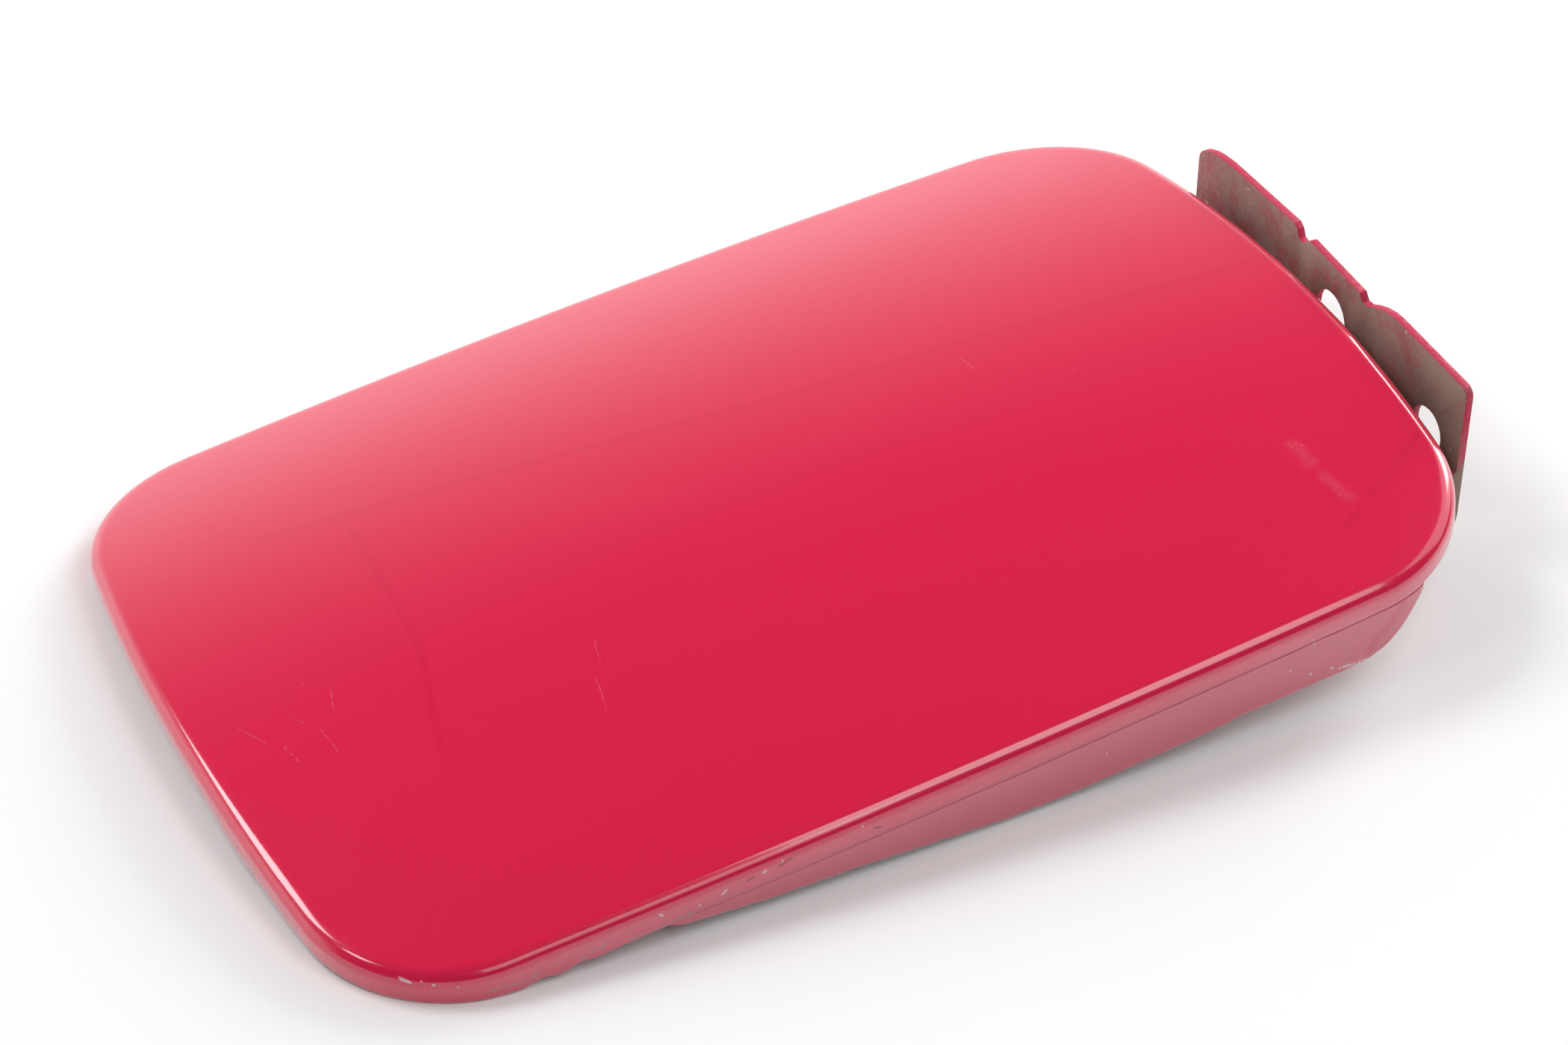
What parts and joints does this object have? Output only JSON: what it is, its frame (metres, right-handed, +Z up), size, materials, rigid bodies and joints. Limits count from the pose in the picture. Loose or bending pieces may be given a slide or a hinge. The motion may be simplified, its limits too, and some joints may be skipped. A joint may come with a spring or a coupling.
{
  "type": "car fuel filler door with hinge bracket",
  "caption": "Crowned painted steel filler flap with deep side skirts, hinged on a pin to a notched bracket that bolts to the car body.",
  "frame": {"origin": "centre of the bounding box at the level of the surface that the part lies on", "axes": "+X along the door towards its hinge, +Y across the door, +Z up, with the door lying crown up on its free end and on the bracket's foot"},
  "size_m": [0.221, 0.1446, 0.0337],
  "materials": {
    "body_paint": "glossy red car paint with fine scratches, scuffs and edge chips",
    "inner_paint": "duller red paint over primer on the inner pressing and its skirts",
    "primer": "matt grey-brown primer with red overspray and red cut edges",
    "plated_steel": "zinc-plated steel, slightly dulled",
    "rubber": "moulded black rubber"
  },
  "bodies": {
    "door": {"outer_skin": "body_paint", "inner_panel": "inner_paint", "door_hinge_channel": "inner_paint", "latch_keeper": "inner_paint", "bump_stop_near": "rubber", "bump_stop_far": "rubber"},
    "bracket": {"body_bracket": "primer", "hinge_pin": "plated_steel", "pin_clip": "plated_steel"}
  },
  "joints": [
    {"name": "bracket_hinge", "type": "hinge", "parent": "door", "child": "bracket", "pos_m": [0.10096, 0, 0.0065], "axis": [0, 1, 0], "range_deg": [-8, 84]}
  ]
}
